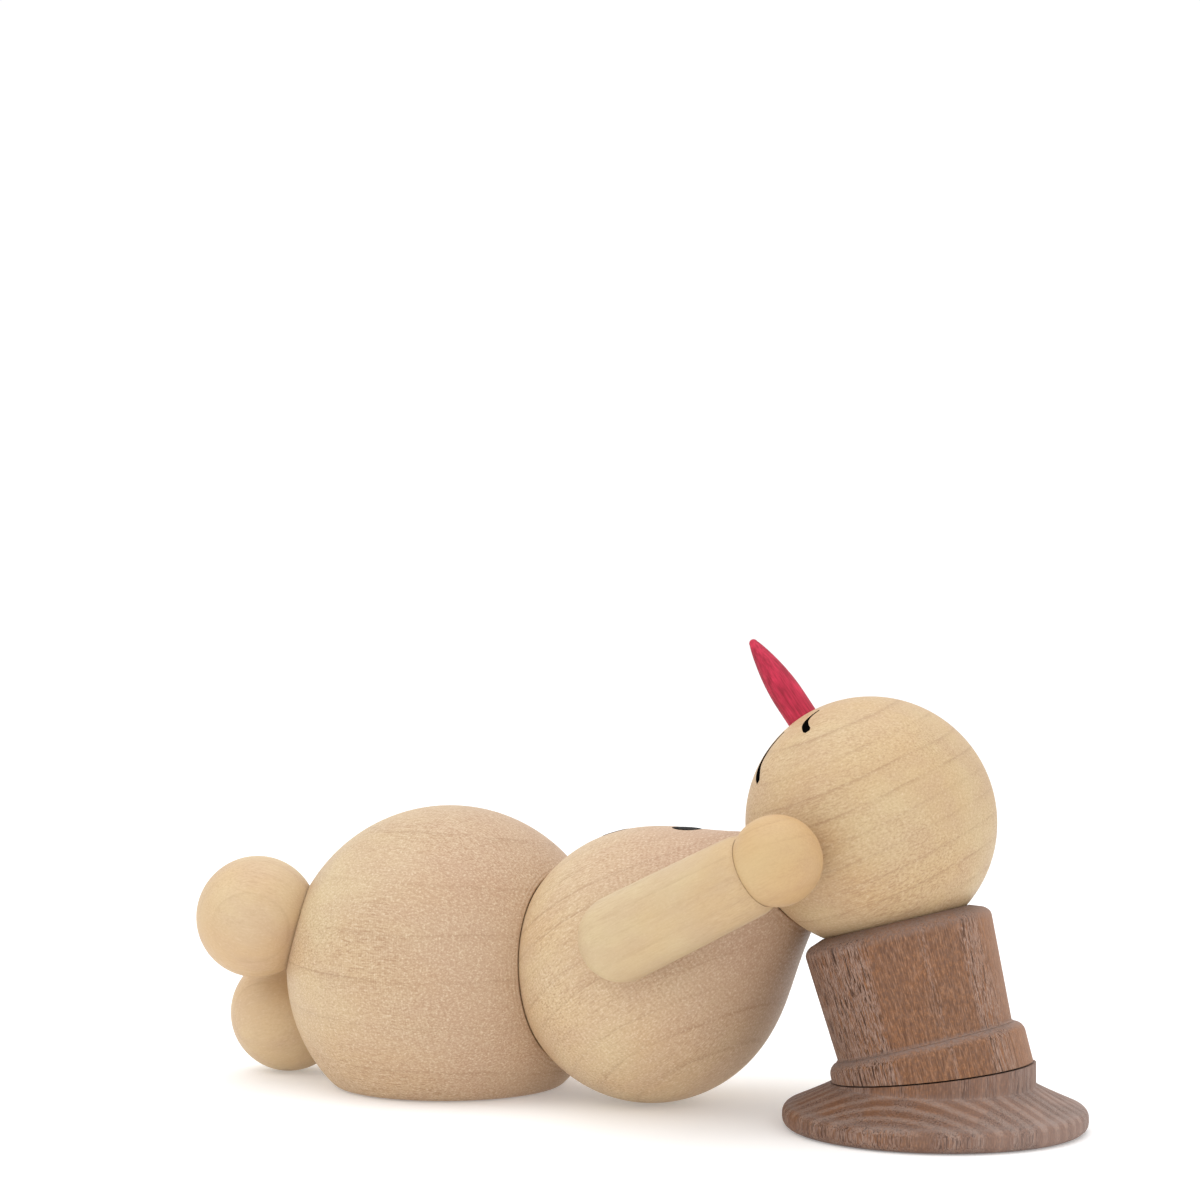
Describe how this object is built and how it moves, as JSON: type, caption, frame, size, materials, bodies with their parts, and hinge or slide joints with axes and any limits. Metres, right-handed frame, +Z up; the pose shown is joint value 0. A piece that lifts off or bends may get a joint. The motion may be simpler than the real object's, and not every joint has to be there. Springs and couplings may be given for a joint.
{
  "type": "posable wooden snowman figure",
  "caption": "Posable turned-wood snowman lying on its back: ball body, torso and head on elastic cords, swinging arms, pointed nose, and a top hat under its head.",
  "frame": {"origin": "on the resting plane, under the middle of the figure's bounding box", "axes": "+X from the feet to the head and hat along the lying figure, -Y towards the figure's left side, +Z up"},
  "size_m": [0.1947, 0.086, 0.0958],
  "materials": {
    "maple": "pale turned maple with a clear satin oil",
    "smoked_oak": "dark smoked oak, matt oiled, open pores",
    "crimson_paint": "crimson painted wood, satin",
    "black_wood": "black stained wood, satin",
    "beech_dowel": "bare beech dowel",
    "elastic_cord": "braided cotton-covered elastic",
    "plated_steel": "zinc-plated steel",
    "magnet": "nickel-plated magnet"
  },
  "bodies": {
    "lower_body": {"lower_body": "maple", "waist_anchor": "beech_dowel", "left_foot_dowel": "beech_dowel", "right_foot_dowel": "beech_dowel"},
    "waist_cord": {"waist_cord": "elastic_cord"},
    "torso": {"torso": "maple", "upper_button": "black_wood", "lower_button": "black_wood", "left_shoulder_dowel": "beech_dowel", "right_shoulder_dowel": "beech_dowel"},
    "neck_cord": {"neck_cord": "elastic_cord"},
    "head": {"head": "maple", "nose": "crimson_paint", "head_disc": "plated_steel"},
    "hat_crown": {"hat_crown": "smoked_oak", "hat_magnet": "magnet", "hat_swivel_pin": "plated_steel"},
    "hat_brim": {"hat_brim": "smoked_oak"},
    "left_arm": {"left_arm": "maple", "left_wrist_dowel": "beech_dowel"},
    "left_hand": {"left_hand": "maple"},
    "right_arm": {"right_arm": "maple", "right_wrist_dowel": "beech_dowel"},
    "right_hand": {"right_hand": "maple"},
    "left_foot": {"left_foot": "maple"},
    "right_foot": {"right_foot": "maple"}
  },
  "joints": [
    {"name": "waist_twist", "type": "hinge", "parent": "lower_body", "child": "waist_cord", "pos_m": [0.00482, 0, 0.0284], "axis": [0.9974, 0, 0.0714], "range_deg": [-170, 170]},
    {"name": "waist_bend", "type": "hinge", "parent": "waist_cord", "child": "torso", "pos_m": [0.00482, 0, 0.0284], "axis": [0, -1, 0], "range_deg": [-16, 16]},
    {"name": "neck_turn", "type": "hinge", "parent": "torso", "child": "neck_cord", "pos_m": [0.05392, 0, 0.0596], "axis": [0.844, 0, 0.5363], "range_deg": [-12, 12]},
    {"name": "head_nod", "type": "hinge", "parent": "neck_cord", "child": "head", "pos_m": [0.05392, 0, 0.0596], "axis": [0, -1, 0], "range_deg": [0, 15]},
    {"name": "hat_lift_off", "type": "slide", "parent": "head", "child": "hat_crown", "axis": [0.2622, 0, -0.965], "range_m": [0, 0.03]},
    {"name": "hat_swivel", "type": "hinge", "parent": "hat_crown", "child": "hat_brim", "pos_m": [0.06742, 0, 0.0109], "axis": [-0.1323, 0, 0.9912], "continuous": true},
    {"name": "left_shoulder_swing", "type": "hinge", "parent": "torso", "child": "left_arm", "pos_m": [0.01482, -0.0323, 0.0376], "axis": [0, -1, 0], "range_deg": [-20, 60]},
    {"name": "left_hand_spin", "type": "hinge", "parent": "left_arm", "child": "left_hand", "pos_m": [0.04892, -0.0342, 0.0542], "axis": [0.898, -0.05, 0.4371], "continuous": true},
    {"name": "right_shoulder_swing", "type": "hinge", "parent": "torso", "child": "right_arm", "pos_m": [0.01482, 0.0323, 0.0376], "axis": [0, -1, 0], "range_deg": [-20, 60]},
    {"name": "right_hand_spin", "type": "hinge", "parent": "right_arm", "child": "right_hand", "pos_m": [0.04892, 0.0342, 0.0542], "axis": [0.898, 0.05, 0.4371], "continuous": true},
    {"name": "left_foot_spin", "type": "hinge", "parent": "lower_body", "child": "left_foot", "pos_m": [-0.08008, -0.0204, 0.036], "axis": [-0.8403, -0.4762, 0.2591], "continuous": true},
    {"name": "right_foot_spin", "type": "hinge", "parent": "lower_body", "child": "right_foot", "pos_m": [-0.08438, -0.0017, 0.013], "axis": [-0.9583, -0.0404, -0.283], "continuous": true}
  ]
}
